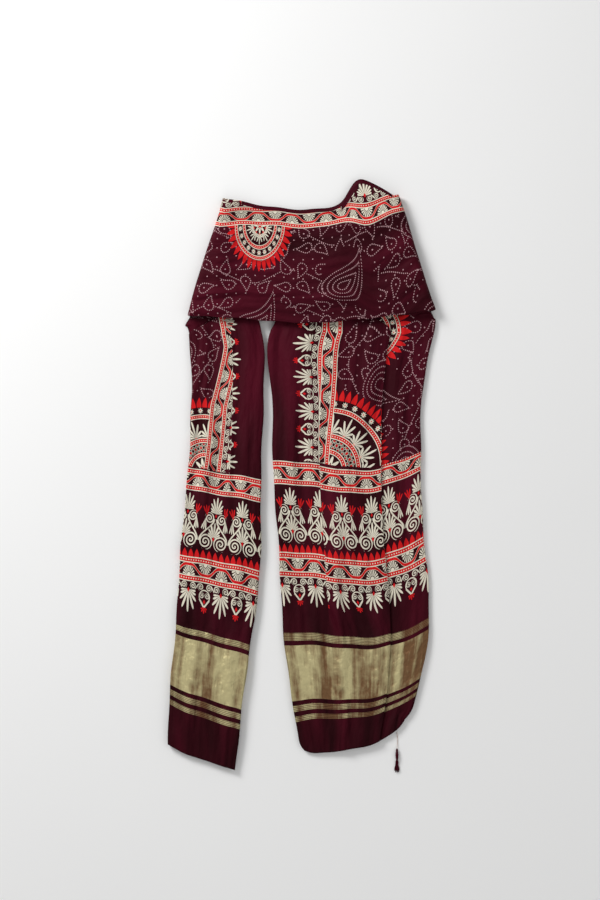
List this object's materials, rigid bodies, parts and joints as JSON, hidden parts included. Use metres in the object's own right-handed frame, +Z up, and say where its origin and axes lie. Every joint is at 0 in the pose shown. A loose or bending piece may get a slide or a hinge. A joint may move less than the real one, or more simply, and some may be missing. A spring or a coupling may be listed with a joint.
{
  "type": "folded printed dupatta",
  "caption": "Long silk shawl with ajrakh block print and woven gold end bands, folded lengthwise and laid in a worn, open-ended loop, with a small corner tassel.",
  "frame": {"origin": "on the surface that the cloth lies on, under the middle of its box", "axes": "+Z up from the surface, +Y towards the neckline, +X towards the wider end"},
  "size_m": [0.496, 1.108, 0.021],
  "materials": {
    "printed_silk": "soft sheen, maroon with a cream and red block print and woven gold bands",
    "tassel_thread": "matt twisted thread"
  },
  "bodies": {
    "root": {"dupatta_cloth": "printed_silk", "corner_tassel": "tassel_thread"}
  },
  "joints": []
}
